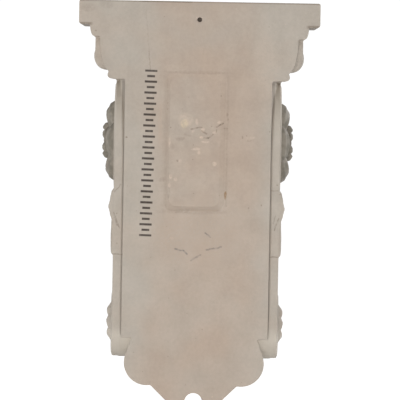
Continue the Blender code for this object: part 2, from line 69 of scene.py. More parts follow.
def at(x, out, z):
    return Vector((x, -out, z))


def arc(centre, radius, start, end, steps):
    turns = [start + (end - start) * i / steps for i in range(steps + 1)]
    return [(centre[0] + radius * math.cos(a), centre[1] + radius * math.sin(a)) for a in turns]


def edit(piece, what="SELECT"):
    """Opens a piece for modelling, with all or nothing of it selected."""
    bpy.ops.object.select_all(action="DESELECT")
    piece.select_set(True)
    bpy.context.view_layer.objects.active = piece
    bpy.ops.object.mode_set(mode="EDIT")
    bpy.ops.mesh.select_mode(type="FACE" if what == "DESELECT" else "VERT")
    bpy.ops.mesh.select_all(action=what)


def close_edit(piece, name):
    """Leaves edit mode with faces turned outwards, puts the place into the mesh and keeps the part."""
    bpy.ops.mesh.select_all(action="SELECT")
    bpy.ops.mesh.normals_make_consistent(inside=False)
    bpy.ops.object.mode_set(mode="OBJECT")
    bpy.ops.object.transform_apply(location=True, rotation=True, scale=True)
    piece.name = name
    casting_parts.append(piece)


slab_foot = (SLAB_FOOT_ROUND, SLAB_HEIGHT - SLAB_FOOT_ROUND)
cap_profile = [(SLAB_TOP_CHAMFER, 0.0), (0.0, SLAB_TOP_CHAMFER)]
cap_profile += arc(slab_foot, SLAB_FOOT_ROUND, math.pi, math.pi / 2, 6)
for i in range(7):
    turn = math.pi / 2 * i / 6
    set_back = COVE_SET_BACK + COVE_DEPTH * (1 - math.cos(turn))
    cap_profile.append((set_back, SLAB_HEIGHT + COVE_HEIGHT * math.sin(turn)))
ovolo_set_back = COVE_SET_BACK + COVE_DEPTH + OVOLO_SET_BACK
ovolo_top = SLAB_HEIGHT + COVE_HEIGHT
for i in range(11):
    turn = math.pi / 2 * i / 10
    set_back = ovolo_set_back + OVOLO_DEPTH * (1 - math.cos(turn))
    cap_profile.append((set_back, ovolo_top + OVOLO_HEIGHT * math.sin(turn)))
bead_set_back = ovolo_set_back + OVOLO_DEPTH + BEAD_RADIUS - BEAD_DEPTH
bead_centre = (bead_set_back, ovolo_top + OVOLO_HEIGHT + BEAD_RADIUS)
cap_profile += arc(bead_centre, BEAD_RADIUS, -0.6 * math.pi, -1.5 * math.pi, 10)[1:]

# One square of the cap's plan is drawn down the mouldings, and what lies behind the wall is cut off.
bpy.ops.mesh.primitive_plane_add(size=1, location=(0, 0, CAP_TOP))
cap = bpy.context.object
edit(cap)
set_back, drop = cap_profile[0]
bpy.ops.transform.resize(value=(CAP_WIDTH - 2 * set_back, 2 * (CAP_PROJECTION - set_back), 1))
for next_back, next_drop in cap_profile[1:]:
    bpy.ops.mesh.extrude_region_move(TRANSFORM_OT_translate={"value": (0, 0, drop - next_drop)})
    wider = (CAP_WIDTH / 2 - next_back) / (CAP_WIDTH / 2 - set_back)
    deeper = (CAP_PROJECTION - next_back) / (CAP_PROJECTION - set_back)
    bpy.ops.transform.resize(value=(wider, deeper, 1))
    set_back, drop = next_back, next_drop
bpy.ops.mesh.select_all(action="SELECT")
bpy.ops.mesh.bisect(plane_co=(0, BEHIND_WALL, 0), plane_no=(0, 1, 0), use_fill=True, clear_outer=True)
close_edit(cap, "cap")


# Eggs, darts and corner leaves ---------------------------------------------------------------------------
# The ovolo is carved with eggs in cupped shells and a pointed dart between each two, six along the front and
# four along each end. A ribbed leaf is laid over each front corner, where two rows meet.
EGG_PITCH = 0.0158
EGG_WALL_GAP = 0.0030
EGG_HALF_WIDTH = 0.0046
EGG_HALF_HEIGHT = 0.0076
EGG_DEPTH = 0.0062
EGG_PROUD = 0.0034
EGG_LIFT = 0.0006
SHELL_HALF_WIDTH = 0.0066
SHELL_HALF_HEIGHT = 0.0081
SHELL_DEPTH = 0.0040
SHELL_PROUD = 0.0040
SHELL_DROP = 0.0052
SHELL_HOLLOW = 0.0026
DART_HALF_WIDTH = 0.0014
DART_DEPTH = 0.0060
DART_PROUD = 0.0026
DART_DROP = 0.0084
CARVING_HALF_HEIGHT = 0.0093
CORNER_LEAF_HALF_WIDTH = 0.0062
CORNER_LEAF_DEPTH = 0.0080
CORNER_LEAF_PROUD = 0.0012
CORNER_LEAF_VEIN = 0.0009


def oval(half_width, half_height, depth, proud, z, segments=36, rings=18):
    """An oval boss facing the front, standing this far proud of the plane Y = 0."""
    bpy.ops.mesh.primitive_uv_sphere_add(segments=segments, ring_count=rings, radius=1)
    boss = bpy.context.object
    boss.rotation_euler = (math.pi / 2, 0, 0)
    bpy.ops.object.transform_apply(location=False, rotation=True, scale=False)
    boss.scale = (half_width, depth, half_height)
    boss.location = (0, depth - proud, z)
    bpy.ops.object.transform_apply(location=True, rotation=False, scale=True)
    return boss


egg_z = CAP_TOP - ovolo_top - OVOLO_HEIGHT + EGG_HALF_HEIGHT + EGG_LIFT
shell_z = CAP_TOP - ovolo_top - SHELL_DROP
egg = oval(EGG_HALF_WIDTH, EGG_HALF_HEIGHT, EGG_DEPTH, EGG_PROUD, egg_z)
for vert in egg.data.vertices:
    up = (vert.co.z - egg_z) / EGG_HALF_HEIGHT
    vert.co.x *= 1.02 + 0.10 * up
shell = oval(SHELL_HALF_WIDTH, SHELL_HALF_HEIGHT, SHELL_DEPTH, SHELL_PROUD, shell_z, 48, 28)
for vert in shell.data.vertices:
    across = vert.co.x / SHELL_HALF_WIDTH
    up = (vert.co.z - shell_z) / SHELL_HALF_HEIGHT
    reach = math.hypot(across, up)
    if vert.co.y < SHELL_DEPTH - SHELL_PROUD and reach < 1.0:
        dome = SHELL_PROUD * math.sqrt(1.0 - reach**4)
        vert.co.y = SHELL_HOLLOW * min(max(1.0 - reach / 0.80, 0.0) * 4.0, 1.0) - dome
bpy.ops.object.select_all(action="DESELECT")
egg.select_set(True)
shell.select_set(True)
bpy.context.view_layer.objects.active = egg
bpy.ops.object.join()

dart_z = CAP_TOP - ovolo_top - DART_DROP
dart = oval(DART_HALF_WIDTH, CARVING_HALF_HEIGHT, DART_DEPTH, DART_PROUD, dart_z, 24, 16)
for vert in dart.data.vertices:
    down = (dart_z - vert.co.z) / CARVING_HALF_HEIGHT
    barb = max(0.0, 1.0 - abs(down - 0.42) / 0.30)
    vert.co.x *= 0.85 + 0.75 * barb

row_out = CAP_PROJECTION - ovolo_set_back
row_half = CAP_WIDTH / 2 - ovolo_set_back
eggs_along_front = int(2 * row_half / EGG_PITCH)
eggs_along_end = int((row_out - EGG_WALL_GAP) / EGG_PITCH)
end_middle = EGG_WALL_GAP + eggs_along_end * EGG_PITCH / 2
egg_rows = [(Matrix.Translation((0, -row_out, 0)), eggs_along_front)]
for side in (1, -1):
    to_end = Matrix.Translation((side * row_half, -end_middle, 0))
    egg_rows.append((to_end @ Matrix.Rotation(side * math.pi / 2, 4, "Z"), eggs_along_end))
for row, count in egg_rows:
    for pattern, number in ((egg, count), (dart, count - 1)):
        for i in range(number):
            place = row @ Matrix.Translation((EGG_PITCH * (i - (number - 1) / 2), 0, 0))
            part = pattern.copy()
            part.data = pattern.data.copy()
            part.data.transform(place)
            bpy.context.collection.objects.link(part)
            part.name = "egg_and_shell" if pattern is egg else "dart"
            casting_parts.append(part)
for pattern in (egg, dart):
    bpy.data.objects.remove(pattern)

for side in (-1, 1):
    leaf_size = (CORNER_LEAF_HALF_WIDTH, CARVING_HALF_HEIGHT, CORNER_LEAF_DEPTH, CORNER_LEAF_PROUD)
    leaf = oval(*leaf_size, dart_z, 64, 40)
    for vert in leaf.data.vertices:
        if vert.co.y > CORNER_LEAF_DEPTH - CORNER_LEAF_PROUD:
            continue
        across = abs(vert.co.x) / CORNER_LEAF_HALF_WIDTH
        up = (vert.co.z - dart_z) / CARVING_HALF_HEIGHT
        rib = math.exp(-((across / 0.10) ** 2))
        veins = 0.5 + 0.5 * math.cos(2 * math.pi * (2.6 * up - 1.5 * across))
        vert.co.y += CORNER_LEAF_VEIN * (1.0 - rib) * veins * max(0.0, 1.0 - across**2 - up**4)
    turn = Matrix.Rotation(side * math.pi / 4, 4, "Z")
    leaf.data.transform(Matrix.Translation((side * row_half, -row_out, 0)) @ turn)
    leaf.name = "corner_leaf"
    casting_parts.append(leaf)


# Core and back plate -------------------------------------------------------------------------------------
# The solid middle of the bracket follows the scrolls down the front, a little behind their edges. At the
# wall it widens into a flat plate whose sides open outwards, so that the casting leaves its mould.
HEIGHT = 0.2186
PLATE_HALF_WIDTH = 0.0395
PLATE_FOOT_RISE = 0.0371
PLATE_DRAFT = math.radians(6.5)
PLATE_REACH = 0.0290
NECK_OUT = 0.0520
CORE_INSET = 0.0004
FASCIA_SINK = 0.0020
SCROLL_OFF_WALL = 0.0016
UPPER_SCROLL_RADIUS = 0.0340
UPPER_SCROLL_DROP = 0.0758
LOWER_SCROLL_RADIUS = 0.0196
LOWER_SCROLL_RISE = 0.0448
WAIST_RADIUS = 0.0500

FOOT = CAP_TOP - HEIGHT
upper_scroll = Vector((SCROLL_OFF_WALL + UPPER_SCROLL_RADIUS, CAP_TOP - UPPER_SCROLL_DROP))
lower_scroll = Vector((SCROLL_OFF_WALL + LOWER_SCROLL_RADIUS, FOOT + LOWER_SCROLL_RISE))
span = lower_scroll - upper_scroll
far_upper = UPPER_SCROLL_RADIUS + WAIST_RADIUS
far_lower = LOWER_SCROLL_RADIUS + WAIST_RADIUS
along = (far_upper**2 - far_lower**2 + span.length_squared) / (2 * span.length)
aside = math.sqrt(far_upper**2 - along**2)
waist = upper_scroll + span.normalized() * along + Vector((-span.y, span.x)).normalized() * aside


def angle_to(start, end):
    return math.atan2(end[1] - start[1], end[0] - start[0])


def scroll_arcs(sink, top_angle, foot_angle):
    """The scrolled front line of the side view, as arcs (centre, radius, start, end)."""
    leave, meet = angle_to(upper_scroll, waist), angle_to(lower_scroll, waist)
    return (
        (upper_scroll, UPPER_SCROLL_RADIUS - sink, top_angle, leave),
        (waist, WAIST_RADIUS + sink, leave + math.pi, meet + math.pi),
        (lower_scroll, LOWER_SCROLL_RADIUS - sink, meet, foot_angle),
    )


def scroll_line(sink, top_angle, foot_angle, steps):
    points = []
    for (centre, radius, start, end), count in zip(scroll_arcs(sink, top_angle, foot_angle), steps):
        points += arc(centre, radius, start, end, count)[1 if points else 0:]
    return points


def slice_of(outline, x, thickness):
    """A flat board cut to an outline of (out, Z), from x towards the right, left open in edit mode."""
    mesh = bpy.data.meshes.new("slice")
    mesh.from_pydata([at(x, out, z) for out, z in outline], [], [list(range(len(outline)))])
    board = bpy.data.objects.new("slice", mesh)
    bpy.context.collection.objects.link(board)
    edit(board)
    bpy.ops.mesh.extrude_region_move(TRANSFORM_OT_translate={"value": (thickness, 0, 0)})
    return board


plate_head = CAP_TOP - ovolo_top - OVOLO_HEIGHT / 3
plate_foot = FOOT + PLATE_FOOT_RISE
bpy.ops.mesh.primitive_plane_add(size=1, rotation=(math.pi / 2, 0, 0))
plate = bpy.context.object
narrow_half = PLATE_HALF_WIDTH - BEHIND_WALL * math.tan(PLATE_DRAFT)
plate.scale = (2 * narrow_half, plate_head - plate_foot, 1)
plate.location = (0, BEHIND_WALL, (plate_head + plate_foot) / 2)
bpy.ops.object.transform_apply(location=True, rotation=True, scale=True)
edit(plate)
bpy.ops.mesh.extrude_region_move(TRANSFORM_OT_translate={"value": (0, -BEHIND_WALL - PLATE_REACH, 0)})
wide_half = PLATE_HALF_WIDTH + PLATE_REACH * math.tan(PLATE_DRAFT)
bpy.ops.transform.resize(value=(wide_half / narrow_half, 1, 1))
close_edit(plate, "plate")

neck_angle = math.acos((NECK_OUT - upper_scroll[0]) / (UPPER_SCROLL_RADIUS - FASCIA_SINK))
core_foot = plate_foot + CORE_INSET
foot_angle = -math.pi - math.asin((core_foot - lower_scroll[1]) / (LOWER_SCROLL_RADIUS - FASCIA_SINK))
core_head = CAP_TOP - ovolo_top - OVOLO_HEIGHT / 2
core_outline = [(-BEHIND_WALL, core_head), (NECK_OUT, core_head)]
core_outline += scroll_line(FASCIA_SINK, neck_angle, foot_angle, (40, 20, 30))
core_outline += [(-BEHIND_WALL, core_foot)]
core_half = PLATE_HALF_WIDTH - CORE_INSET
core = slice_of(core_outline, -core_half, 2 * core_half)
close_edit(core, "core")


# Cheeks --------------------------------------------------------------------------------------------------
# A scrolled cheek stands against each side of the core, just clear of the wall. It has a raised rim round a
# sunk panel, a channel down its front edge, and a raised line that rolls in to the eye of each scroll.
CHEEK_HALF_WIDTH = 0.0455
CHEEK_THICKNESS = 0.0090
CHEEK_RIM = 0.0026
CHEEK_PANEL_SINK = 0.0012
COLLAR_HALF_WIDTH = 0.0315
COLLAR_INSET = 0.0004
CHANNEL_MARGIN = 0.0022
CHANNEL_SINK = 0.0007
ROLL_RADIUS = 0.0013
ROLL_START = 0.0021
ROLL_GAP = 0.0026
ROLL_SINK = 0.0002
ROLL_STEPS = 110
UPPER_ROSETTE_RADIUS = 0.0232
LOWER_ROSETTE_RADIUS = 0.0110

panel_x = CHEEK_HALF_WIDTH - CHEEK_PANEL_SINK
cheek_outline = scroll_line(0.0, math.pi, -math.pi, (72, 30, 44))
for side in (-1, 1):
    inner = side * (CHEEK_HALF_WIDTH - CHEEK_THICKNESS)
    cheek = slice_of(cheek_outline, inner, side * CHEEK_THICKNESS)
    bpy.ops.mesh.inset(thickness=CHEEK_RIM)
    bpy.ops.mesh.extrude_region_move(TRANSFORM_OT_translate={"value": (-side * CHEEK_PANEL_SINK, 0, 0)})
    bpy.ops.mesh.select_all(action="SELECT")
    bpy.ops.mesh.normals_make_consistent(inside=False)
    bpy.ops.object.mode_set(mode="OBJECT")
    for face in cheek.data.polygons:
        face.select = abs(face.normal.x) < 0.1 and face.normal.y < -0.15 and face.area > 6e-6
    bpy.ops.object.mode_set(mode="EDIT")
    bpy.ops.mesh.inset(thickness=CHANNEL_MARGIN, depth=-CHANNEL_SINK)
    close_edit(cheek, "cheek")

    collar_end = CHEEK_HALF_WIDTH - CHEEK_THICKNESS / 2
    bpy.ops.mesh.primitive_cylinder_add(
        vertices=96,
        radius=LOWER_SCROLL_RADIUS - COLLAR_INSET,
        depth=collar_end - COLLAR_HALF_WIDTH,
        location=at(side * (collar_end + COLLAR_HALF_WIDTH) / 2, *lower_scroll),
        rotation=(0, math.pi / 2, 0),
    )
    collar = bpy.context.object
    edit(collar)
    close_edit(collar, "collar")

    for centre, radius, flower, turns in (
        (upper_scroll, UPPER_SCROLL_RADIUS, UPPER_ROSETTE_RADIUS, 1.10),
        (lower_scroll, LOWER_SCROLL_RADIUS, LOWER_ROSETTE_RADIUS, -1.10),
    ):
        curve = bpy.data.curves.new("roll", "CURVE")
        curve.dimensions = "3D"
        curve.bevel_depth = ROLL_RADIUS
        curve.bevel_resolution = 4
        curve.use_fill_caps = True
        spline = curve.splines.new("POLY")
        spline.points.add(ROLL_STEPS)
        for i in range(ROLL_STEPS + 1):
            share = i / ROLL_STEPS
            reach = radius - ROLL_START + (flower + ROLL_GAP - radius + ROLL_START) * share**1.4
            turn = angle_to(centre, waist) + 2 * math.pi * turns * share
            across, up = reach * math.cos(turn), reach * math.sin(turn)
            spot = at(side * (panel_x - ROLL_SINK), centre[0] + across, centre[1] + up)
            spline.points[i].co = (*spot, 1.0)
        roll = bpy.data.objects.new("roll", curve)
        bpy.context.collection.objects.link(roll)
        bpy.ops.object.select_all(action="DESELECT")
        roll.select_set(True)
        bpy.context.view_layer.objects.active = roll
        bpy.ops.object.convert(target="MESH")
        casting_parts.append(roll)


# Rosettes ------------------------------------------------------------------------------------------------
# A six-petalled flower fills the eye of each scroll. The large one has a second row of petals over the gaps
# of the first, round a domed button. Each petal is cupped and has a rib down its middle.
UPPER_ROSETTE_RELIEF = 0.0079
LOWER_ROSETTE_RELIEF = 0.0038
ROSETTE_PETALS = 6
PETAL_NOTCH = 0.16
PETAL_FULLNESS = 0.6
SMALL_BUTTON = 0.27
ROOT = 0.0030


def carved(name, across, down, place):
    """A carved skin: a fine grid put where place(u, v, root) says, closed by a second one at its root."""
    bpy.ops.mesh.primitive_grid_add(x_subdivisions=across, y_subdivisions=down, size=1)
    skin = bpy.context.object
    edit(skin)
    bpy.ops.mesh.extrude_region_move(TRANSFORM_OT_translate={"value": (0, 0, 1)})
    bpy.ops.object.mode_set(mode="OBJECT")
    for vert in skin.data.vertices:
        u, v = vert.co.x + 0.5, 0.5 - vert.co.y
        vert.co = place(u, v, vert.co.z < 0.5)
    edit(skin)
    bpy.ops.mesh.remove_doubles(threshold=1e-6)
    close_edit(skin, name)


def between(table, share):
    """Row of a table at a share between its first column's values, eased from row to row."""
    if share <= table[0][0]:
        return table[0][1:]
    for low, high in zip(table, table[1:]):
        if share <= high[0]:
            t = (share - low[0]) / (high[0] - low[0])
            t = t * t * (3 - 2 * t)
            return [a + (b - a) * t for a, b in zip(low[1:], high[1:])]
    return table[-1][1:]


# (share of the radius, rise on a petal, rise between petals), as shares of the relief
OUTER_PETALS = (
    (0.30, 0.34, 0.30), (0.46, 0.48, 0.34), (0.74, 0.74, 0.42), (0.92, 0.50, 0.26), (1.00, 0.20, 0.12)
)
INNER_PETALS = (
    (0.10, 0.50, 0.46), (0.16, 0.66, 0.50), (0.31, 1.00, 0.66), (0.41, 0.86, 0.40), (0.47, 0.30, 0.20)
)
SMALL_PETALS = ((0.20, 0.50, 0.46), (0.32, 0.72, 0.52), (0.66, 0.92, 0.62), (1.00, 0.40, 0.28))
BUTTON = ((0.00, 0.90), (0.06, 0.88), (0.115, 0.60), (0.13, 0.30))


def petal_row(table, share, phase, width):
    """Rise of a row of petals at a place: domed across each petal, with a rib and two faint side veins."""
    crest, gap = between(table, share)
    open_to = math.sin(math.pi * phase) ** PETAL_FULLNESS
    off_rib = (phase - 0.5) * width
    rib = -0.07 * math.exp(-((off_rib / 0.045) ** 2))
    veins = -0.025 * (0.5 + 0.5 * math.cos(2 * math.pi * (9 * share - 5 * abs(off_rib)))) * open_to
    return gap + (crest - gap) * (open_to + rib + veins)


def rosette(name, side, centre, radius, relief, doubled):
    def place(u, v, root):
        turn = 2 * math.pi * u + math.pi / 2
        phase = (u * ROSETTE_PETALS) % 1.0
        open_to = math.sin(math.pi * phase) ** PETAL_FULLNESS
        notch = 1.0 - PETAL_NOTCH * (1.0 - open_to) * min(max((v - 0.35) / 0.4, 0.0), 1.0)
        if doubled:
            rise = petal_row(OUTER_PETALS, v, phase, v)
            inner_phase = (phase + 0.5) % 1.0
            stretch = 1.0 + PETAL_NOTCH * (1.0 - math.sin(math.pi * inner_phase) ** PETAL_FULLNESS)
            if v * stretch < INNER_PETALS[-1][0]:
                rise = max(rise, petal_row(INNER_PETALS, v * stretch, inner_phase, 2 * v))
            if v < BUTTON[-1][0]:
                rise = max(between(BUTTON, v)[0], 0.46)
        else:
            rise = petal_row(SMALL_PETALS, v, phase, v)
            if v < SMALL_BUTTON:
                rise = 1.0 - (v / SMALL_BUTTON) ** 2 * 0.35
        reach = radius * v * notch
        x = side * (panel_x + (-ROOT if root else relief * rise))
        return at(x, centre[0] + reach * math.cos(turn), centre[1] + reach * math.sin(turn))

    carved(name, 216, 60 if doubled else 30, place)


for side in (-1, 1):
    rosette("upper_rosette", side, upper_scroll, UPPER_ROSETTE_RADIUS, UPPER_ROSETTE_RELIEF, True)
    rosette("lower_rosette", side, lower_scroll, LOWER_ROSETTE_RADIUS, LOWER_ROSETTE_RELIEF, False)


# Husks ---------------------------------------------------------------------------------------------------
# Two rows of ribbed leaves sheathe the waist of each cheek, between the scrolls. The lower row is bound over
# the stems of the upper, whose tips are tucked under the large flower.
HUSK_LEAVES = 4
HUSK_RELIEF = 0.0027
HUSK_TIP = 0.0040
HUSK_EDGE_GAP = 0.0010

# (share of the way from the lower to the upper scroll, how far the leaves stand out, depth of the grooves)
LOWER_HUSK = (
    (0.379, 0.24, 0.20), (0.416, 0.42, 0.38), (0.478, 0.46, 0.42), (0.534, 0.30, 0.28), (0.570, 0.26, 0.24)
)
UPPER_HUSK = (
    (0.570, 0.30, 0.26), (0.600, 0.95, 0.76), (0.639, 1.55, 1.34), (0.680, 0.92, 0.86), (0.729, 0.32, 0.28)
)


def husk_place(side, u, v, root):
    husk_top = UPPER_HUSK[-1][0]
    up = husk_top - (husk_top - LOWER_HUSK[0][0]) * v
    upper_row = up > UPPER_HUSK[0][0]
    stand, groove = between(UPPER_HUSK if upper_row else LOWER_HUSK, up)
    phase = (u * HUSK_LEAVES + (0.5 if upper_row else 0.0)) % 1.0
    leaf = math.sin(math.pi * phase)
    tip = HUSK_TIP * (1.0 - leaf) * max(0.0, 1.0 - v / 0.12)
    z = lower_scroll[1] + (upper_scroll[1] - lower_scroll[1]) * up - tip
    hollow = waist[0] - math.sqrt(WAIST_RADIUS**2 - (z - waist[1]) ** 2)
    round_off = math.sqrt(max(UPPER_SCROLL_RADIUS**2 - (z - upper_scroll[1]) ** 2, 0.0))
    front = min(hollow, upper_scroll[0] + round_off) - HUSK_EDGE_GAP
    back = SCROLL_OFF_WALL + HUSK_EDGE_GAP
    rib = 0.16 * math.exp(-(((phase - 0.5) / 0.07) ** 2)) * stand
    veins = 0.09 * (0.5 + 0.5 * math.cos(2 * math.pi * (46 * up + 2.2 * abs(phase - 0.5)))) * stand
    rise = CHEEK_PANEL_SINK + HUSK_RELIEF / 2 * (stand - groove * (1.0 - leaf) + rib - veins)
    return at(side * (panel_x + (-ROOT if root else rise)), back + (front - back) * u, z)


for side in (-1, 1):
    carved("husk", 128, 76, lambda u, v, root: husk_place(side, u, v, root))


# Acanthus leaf -------------------------------------------------------------------------------------------
# The leaf that hangs down the front, from the neck to the lower scroll. It has six pairs of drooping lobes
# cut into fingers, a channel on each side of its midrib, and a tip that lifts clear of the scroll.
LEAF_TOP_ANGLE = math.radians(57)
LEAF_LENGTH = 0.1270
LEAF_HALF_WIDTH = 0.0345
LEAF_RELIEF = 0.0062
LEAF_TIP_LIFT = 0.0050
LEAF_LOBES = 6
LEAF_DROOP = 0.17
LEAF_HOLLOW = 0.22
LEAF_FINGERS = 3

# Down one lobe: (share of the lobe, length of the row, rise), as shares of the leaf's own
LOBE = ((0.0, 0.62, 0.30), (0.18, 0.90, 0.60), (0.46, 1.0, 0.86), (0.76, 0.96, 1.0), (1.0, 0.84, 0.97))


def on_fascia(distance, across, rise):
    """A point over the front of the core, this far along its line from the leaf's top."""
    arcs = scroll_arcs(FASCIA_SINK, LEAF_TOP_ANGLE, -math.pi / 2)
    for i, (centre, radius, start, end) in enumerate(arcs):
        length = radius * abs(end - start)
        if distance <= length or i == 2:
            break
        distance -= length
    turn = start + math.copysign(distance / radius, end - start)
    reach = radius + (rise if i != 1 else -rise)
    return at(across, centre[0] + reach * math.cos(turn), centre[1] + reach * math.sin(turn))


def leaf_place(u, v, root):
    lobe = min(int(v * LEAF_LOBES), LEAF_LOBES - 1)
    step = v * LEAF_LOBES - lobe
    reach, rise = between(LOBE, step)
    if lobe == LEAF_LOBES - 1:
        reach *= 1.0 - 0.45 * step - 0.45 * max(step - 0.76, 0.0) / 0.24
        rise -= 0.38 * max(step - 0.76, 0.0) / 0.24
    across = 2 * u - 1
    side = abs(across)
    swell = math.sin(math.pi * (0.32 + 0.60 * v)) ** 0.7
    finger = abs(math.sin(math.pi * LEAF_FINGERS * step))
    reach *= swell * (1.0 - 0.07 * (1.0 - finger) * side**4)
    droop = LEAF_DROOP * (1.0 - v**4) * (1.0 - (1.0 - side) ** 1.7)
    lift = LEAF_TIP_LIFT * max((v - 0.65) / 0.35, 0.0) ** 2
    hollow = 1.0 - LEAF_HOLLOW * math.sin(math.pi * min(side * 1.2, 1.0))
    edge = 1.0 - 0.45 * side**3
    flutes = 0.13 * (1.0 - finger) * min(side / 0.35, 1.0)
    rib = LEAF_RELIEF * (1.0 - (side / 0.07) ** 2 * 0.3) if side < 0.07 else 0.0
    crease = 0.10 * math.exp(-(((side - 0.10) / 0.025) ** 2))
    stand = max(LEAF_RELIEF * (rise * hollow * edge - flutes - crease), rib) + lift
    distance = LEAF_LENGTH * (v * (1.0 - LEAF_DROOP) + droop)
    return on_fascia(distance, across * LEAF_HALF_WIDTH * reach, -ROOT if root else stand)


carved("acanthus_leaf", 130, 168, leaf_place)


# Tail leaf -----------------------------------------------------------------------------------------------
# The leaf that lies against the wall below the bracket: two round lobes and a cleft tip, with ribs that fan
# out from under the lower scroll. Its back is part of the wall face.
TAIL_SHOULDER_HALF_WIDTH = 0.0338
TAIL_SHOULDER_RISE = 0.0366
TAIL_SHOULDER_HEIGHT = 0.0060
TAIL_HUB_RISE = 0.0140
TAIL_LOBE_RADIUS = 0.0123
TAIL_LOBE_X = 0.0255
TAIL_LOBE_RISE = 0.0236
TAIL_TIP_RADIUS = 0.0048
TAIL_TIP_X = 0.0097
TAIL_NOTCH_RADIUS = 0.0047
TAIL_NOTCH_RISE = 0.0028
TAIL_EDGE_OUT = 0.0070
TAIL_RELIEF = 0.0075

tail_side = [(TAIL_SHOULDER_HALF_WIDTH * 0.93, FOOT + TAIL_SHOULDER_RISE + TAIL_SHOULDER_HEIGHT, 0.2)]
tail_side += [(TAIL_SHOULDER_HALF_WIDTH, FOOT + TAIL_SHOULDER_RISE, 0.1)]
lobe_centre = (TAIL_LOBE_X, FOOT + TAIL_LOBE_RISE)
tip_centre = (TAIL_TIP_X, FOOT + TAIL_TIP_RADIUS)
for centre, radius, start, end, steps, folds in (
    (lobe_centre, TAIL_LOBE_RADIUS, math.radians(14), math.radians(-100), 48, 2),
    (tip_centre, TAIL_TIP_RADIUS, math.radians(-45), math.radians(-168), 36, 1),
):
    for i, (x, z) in enumerate(arc(centre, radius, start, end, steps)):
        tail_side.append((x, z, abs(math.sin(math.pi * folds * i / steps))))
notch = arc((0.0, FOOT + TAIL_NOTCH_RISE), TAIL_NOTCH_RADIUS, math.radians(10), math.radians(90), 12)
tail_side += [(x, z, i / 12) for i, (x, z) in enumerate(notch)]
tail_edge = tail_side + [(-x, z, swell) for x, z, swell in reversed(tail_side[:-1])]
tail_hub = (0.0, FOOT + TAIL_SHOULDER_RISE + TAIL_HUB_RISE)

# From the hub to the edge: (share of the way, rise on a lobe, rise between lobes)
TAIL_PROFILE = (
    (0.02, 1.0, 1.0), (0.30, 1.05, 0.85), (0.60, 0.95, 0.55),
    (0.85, 0.80, 0.35), (0.96, 0.55, 0.20), (1.0, 0.30, 0.08),
)


def tail_place(u, v, root):
    x, z, swell = tail_edge[min(round(u * (len(tail_edge) - 1)), len(tail_edge) - 1)]
    hub_share = TAIL_PROFILE[0][0]
    share = hub_share + (1.0 - hub_share) * v
    crest, valley = between(TAIL_PROFILE, share)
    flutes = 0.10 * (0.5 - 0.5 * math.cos(2 * math.pi * 3 * swell)) * min(share * 1.6, 1.0) * swell
    out = TAIL_EDGE_OUT + TAIL_RELIEF * (valley + (crest - valley) * swell - flutes)
    return at(x * share, -BEHIND_WALL if root else out, tail_hub[1] + (z - tail_hub[1]) * share)


carved("tail_leaf", len(tail_edge) - 1, 44, tail_place)


# The casting ---------------------------------------------------------------------------------------------
# All of it is one pour of resin: the parts are fused, their edges softened as a rubber mould leaves them,
# and the back struck off flat. It keeps the shallow recess of the mould's lid, a thin groove down each side
# of the plate where the parts of the mould met, and a blind hole for a nail.
VOXEL = 0.00050
MOST_TRIANGLES = 190000
RECESS_WIDTH = 0.0325
RECESS_HEIGHT = 0.0750
RECESS_TOP_DROP = 0.0380
RECESS_OFFSET = 0.0016
RECESS_DEPTH = 0.0009
RECESS_SLOPE = 0.0052
SEAM_X = 0.03972
SEAM_WIDTH = 0.00034
SEAM_DEPTH = 0.0030
SEAM_TOP = -0.0330
SEAM_FOOT = -0.1560
NAIL_HOLE_RADIUS = 0.0013
NAIL_HOLE_DEPTH = 0.0120
NAIL_HOLE_DROP = 0.0098

bpy.ops.object.select_all(action="DESELECT")
for part in casting_parts:
    part.select_set(True)
bpy.context.view_layer.objects.active = cap
bpy.ops.object.join()
casting = cap
casting.name = "corbel_casting"
casting.data.name = "corbel_casting"


def finish_with(kind, **settings):
    modifier = casting.modifiers.new(kind.lower(), kind)
    for name, value in settings.items():
        setattr(modifier, name, value)
    bpy.ops.object.modifier_apply(modifier=modifier.name)


finish_with("REMESH", mode="VOXEL", voxel_size=VOXEL, adaptivity=0.0)
finish_with("SMOOTH", factor=0.5, iterations=3)
triangles = sum(len(face.vertices) - 2 for face in casting.data.polygons)
if triangles > MOST_TRIANGLES:
    finish_with("DECIMATE", ratio=MOST_TRIANGLES / triangles)

edit(casting)
bpy.ops.mesh.bisect(plane_co=(0, 0, 0), plane_no=(0, 1, 0), use_fill=True, clear_outer=True)
bpy.ops.mesh.select_all(action="SELECT")
bpy.ops.mesh.normals_make_consistent(inside=False)
bpy.ops.object.mode_set(mode="OBJECT")

recess_spot = (RECESS_OFFSET, RECESS_DEPTH, CAP_TOP - RECESS_TOP_DROP - RECESS_HEIGHT / 2)
bpy.ops.mesh.primitive_plane_add(size=1, location=recess_spot, rotation=(math.pi / 2, 0, 0))
recess = bpy.context.object
edit(recess)
bpy.ops.transform.resize(value=(RECESS_WIDTH + RECESS_SLOPE, 1, RECESS_HEIGHT + RECESS_SLOPE))
bpy.ops.mesh.bevel(offset=RECESS_SLOPE, segments=5, affect="VERTICES")
bpy.ops.mesh.extrude_region_move(TRANSFORM_OT_translate={"value": (0, -2 * RECESS_DEPTH, 0)})
narrower = (RECESS_WIDTH - RECESS_SLOPE) / (RECESS_WIDTH + RECESS_SLOPE)
lower = (RECESS_HEIGHT - RECESS_SLOPE) / (RECESS_HEIGHT + RECESS_SLOPE)
bpy.ops.transform.resize(value=(narrower, 1, lower))
bpy.ops.mesh.select_all(action="SELECT")
bpy.ops.mesh.normals_make_consistent(inside=False)
bpy.ops.object.mode_set(mode="OBJECT")
bpy.ops.object.transform_apply(location=True, rotation=True, scale=True)

